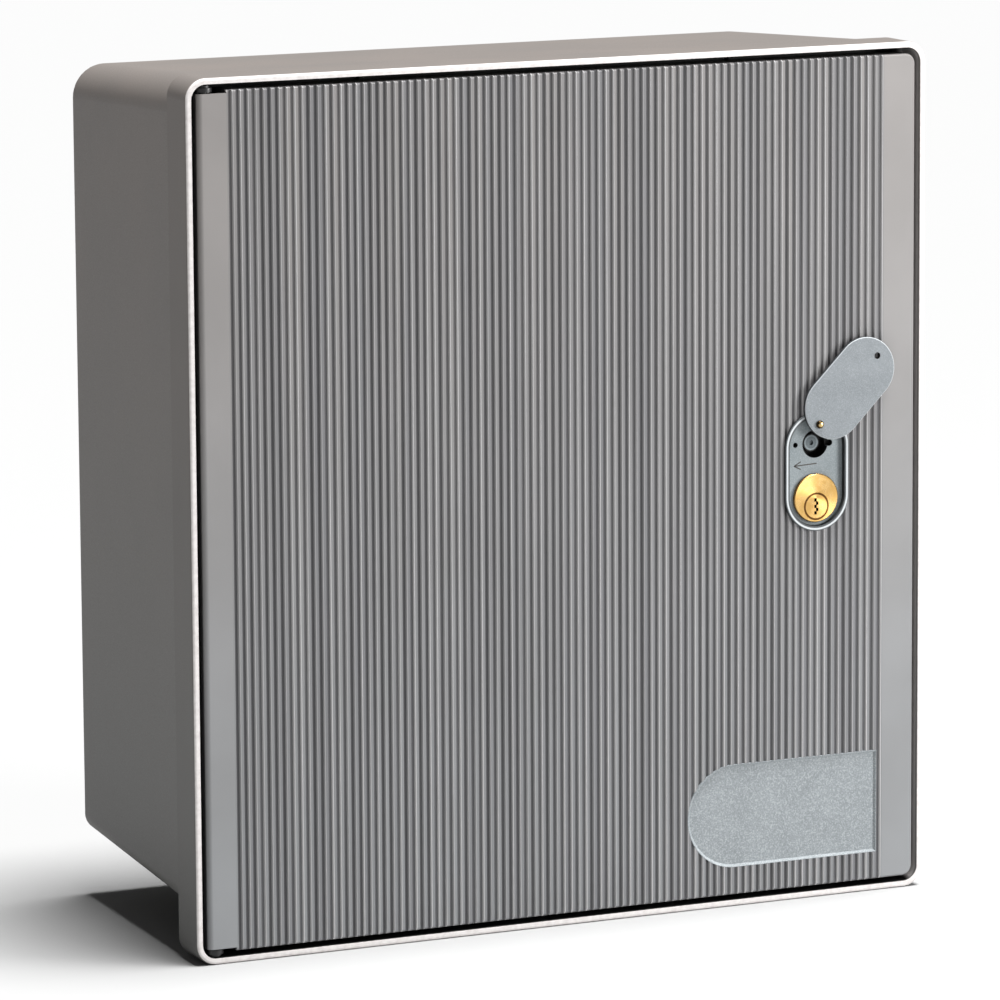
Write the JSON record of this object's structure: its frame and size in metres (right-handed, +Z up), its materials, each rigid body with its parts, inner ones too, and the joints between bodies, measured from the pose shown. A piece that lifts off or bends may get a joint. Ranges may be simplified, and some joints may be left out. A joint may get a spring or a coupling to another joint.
{
  "type": "electric meter box",
  "caption": "Wall-mounted plastic meter box with a ribbed hinged door, brass cylinder lock, swinging lock cover and rods that bolt the door above and below.",
  "frame": {"origin": "on the wall plane, at the middle of the four wall-fixing holes", "axes": "+X to the right seen from the front, +Y into the wall, +Z up"},
  "size_m": [0.38, 0.1705, 0.411],
  "materials": {
    "case_plastic": "moulded, slightly grained",
    "door_plastic": "moulded, slightly grained",
    "plate_board": "pressed insulating board",
    "zinc_screws": "zinc plated",
    "hinge_steel": "black coated sheet",
    "bare_steel": "bright",
    "seal_rubber": "soft black",
    "lock_paint": "satin grey paint on zinc",
    "cover_paint": "satin grey paint on zinc",
    "lock_casting": "cast zinc",
    "brass": "turned and satin",
    "guide_nylon": "black nylon",
    "spindle_steel": "grey coated",
    "rod_steel": "zinc plated"
  },
  "bodies": {
    "case": {"case_shell": "case_plastic", "mounting_plate": "plate_board", "mounting_plate_screws": "zinc_screws", "hinge_bracket_upper": "hinge_steel", "hinge_bracket_lower": "hinge_steel", "hinge_pin_upper": "bare_steel", "hinge_pin_lower": "bare_steel", "hinge_washer": "bare_steel", "hinge_screws": "zinc_screws", "door_seal": "seal_rubber"},
    "door": {"door_panel": "door_plastic", "lock_escutcheon": "lock_paint", "cover_rivet": "brass", "cylinder_body": "brass", "cylinder_nut": "brass", "lock_case": "lock_casting", "lock_case_cover": "bare_steel", "lock_case_screws": "zinc_screws", "escutcheon_screws": "zinc_screws", "rod_guide_upper": "guide_nylon", "rod_guide_lower": "guide_nylon", "rod_guide_screws": "zinc_screws"},
    "cover": {"lock_cover": "cover_paint"},
    "plug": {"key_plug": "brass", "plug_cam": "bare_steel", "plug_cam_screw": "zinc_screws"},
    "spindle": {"drive_spindle": "spindle_steel", "spindle_pinion": "bare_steel"},
    "upper_rod": {"rod_upper": "rod_steel"},
    "lower_rod": {"rod_lower": "rod_steel"}
  },
  "joints": [
    {"name": "door_hinge", "type": "hinge", "parent": "case", "child": "door", "pos_m": [-0.1797, -0.1605, -0.012], "axis": [0, 0, -1], "range_deg": [0, 105]},
    {"name": "cover_swing", "type": "hinge", "parent": "door", "child": "cover", "pos_m": [0.1314, -0.1678, 0.0135], "axis": [0, -1, 0], "range_deg": [-135, 45]},
    {"name": "key_turn", "type": "hinge", "parent": "door", "child": "plug", "pos_m": [0.1314, -0.155, -0.0265], "axis": [0, 1, 0], "range_deg": [0, 90]},
    {"name": "spindle_turn", "type": "hinge", "parent": "door", "child": "spindle", "pos_m": [0.1314, -0.15, 0.0035], "axis": [0, 1, 0], "range_deg": [0, 90]},
    {"name": "upper_rod_slide", "type": "slide", "parent": "door", "child": "upper_rod", "axis": [0, 0, 1], "range_m": [0, 0.01885]},
    {"name": "lower_rod_slide", "type": "slide", "parent": "door", "child": "lower_rod", "axis": [0, 0, -1], "range_m": [0, 0.01885]}
  ],
  "couplings": [
    {"joint": "spindle_turn", "follows": "upper_rod_slide", "rad_per_m": 83.33},
    {"joint": "lower_rod_slide", "follows": "upper_rod_slide", "ratio": 1}
  ]
}
